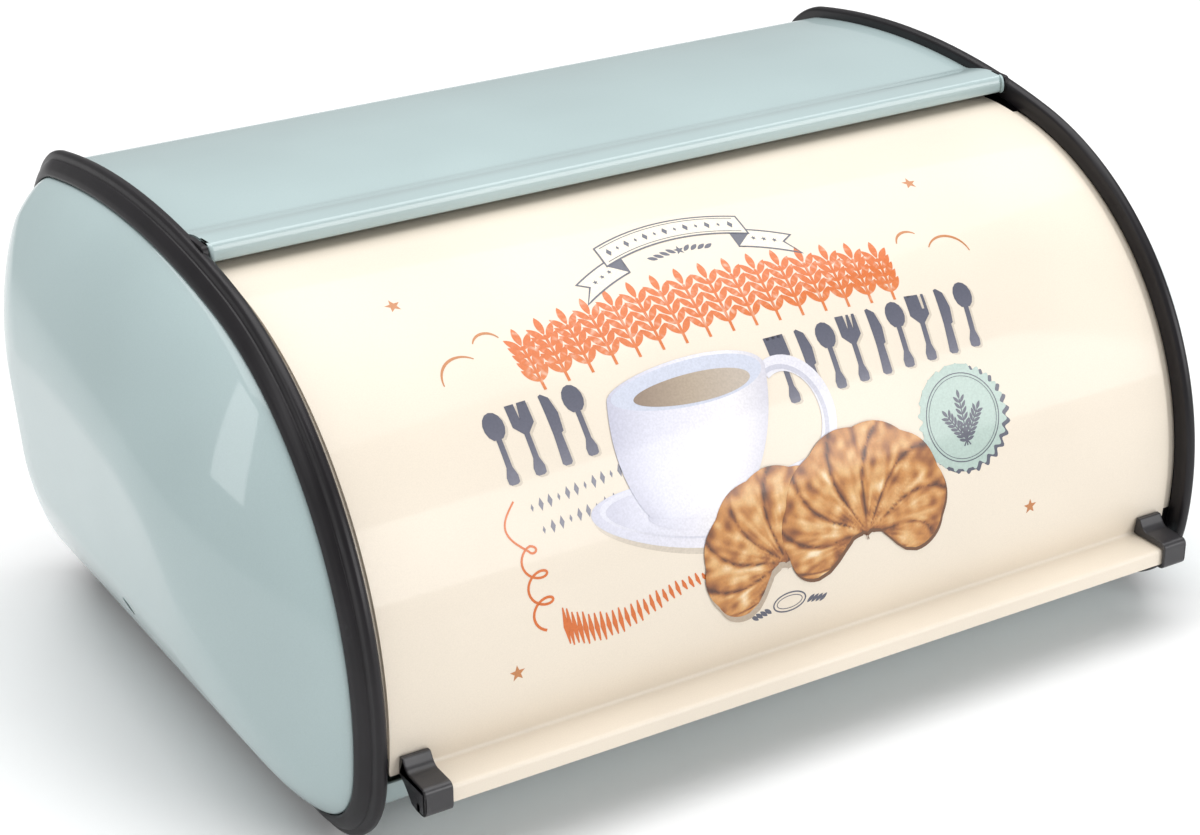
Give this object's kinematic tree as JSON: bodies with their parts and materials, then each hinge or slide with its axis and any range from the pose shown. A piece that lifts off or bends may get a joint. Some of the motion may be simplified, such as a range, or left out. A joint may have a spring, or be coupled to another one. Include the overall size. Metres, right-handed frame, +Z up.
{
  "type": "roll-top bread box",
  "caption": "Countertop bread box: a painted sheet body with domed end caps and black trim, and a curved front door that turns up and back under the top.",
  "frame": {"origin": "centre of the box's footprint, on the surface it stands on", "axes": "+X along the box to its right end, -Y to the front where the door opens, +Z up"},
  "size_m": [0.353, 0.2348, 0.1527],
  "materials": {
    "blue_enamel": "pale blue-green gloss enamel",
    "cream_enamel": "cream satin-gloss enamel with a printed picture",
    "black_plastic": "satin moulded plastic",
    "rubber": "matte",
    "nylon": "natural",
    "steel": "zinc plated"
  },
  "bodies": {
    "housing": {"top_back_sheet": "blue_enamel", "bottom_sheet": "blue_enamel", "left_end_cap": "blue_enamel", "right_end_cap": "blue_enamel", "left_trim_frame": "black_plastic", "right_trim_frame": "black_plastic", "left_foot_front": "rubber", "left_foot_rear": "rubber", "right_foot_front": "rubber", "right_foot_rear": "rubber", "left_door_bumper": "rubber", "right_door_bumper": "rubber", "left_pivot_bush": "nylon", "right_pivot_bush": "nylon", "left_pivot_screw": "steel", "left_pivot_washer": "steel", "left_pivot_nut": "steel", "right_pivot_screw": "steel", "right_pivot_washer": "steel", "right_pivot_nut": "steel", "left_base_screw_front": "steel", "left_base_screw_rear": "steel", "right_base_screw_front": "steel", "right_base_screw_rear": "steel", "left_back_screw_lower": "steel", "left_back_screw_upper": "steel", "right_back_screw_lower": "steel", "right_back_screw_upper": "steel", "seam_rivet_1": "steel", "seam_rivet_2": "steel", "seam_rivet_3": "steel"},
    "door": {"door_panel": "cream_enamel", "left_door_cheek": "cream_enamel", "left_lift_clip": "black_plastic", "right_door_cheek": "cream_enamel", "right_lift_clip": "black_plastic"}
  },
  "joints": [
    {"name": "door_pivot", "type": "hinge", "parent": "housing", "child": "door", "pos_m": [0, -0.0051, 0.0436], "axis": [-1, 0, 0], "range_deg": [0, 92]}
  ]
}
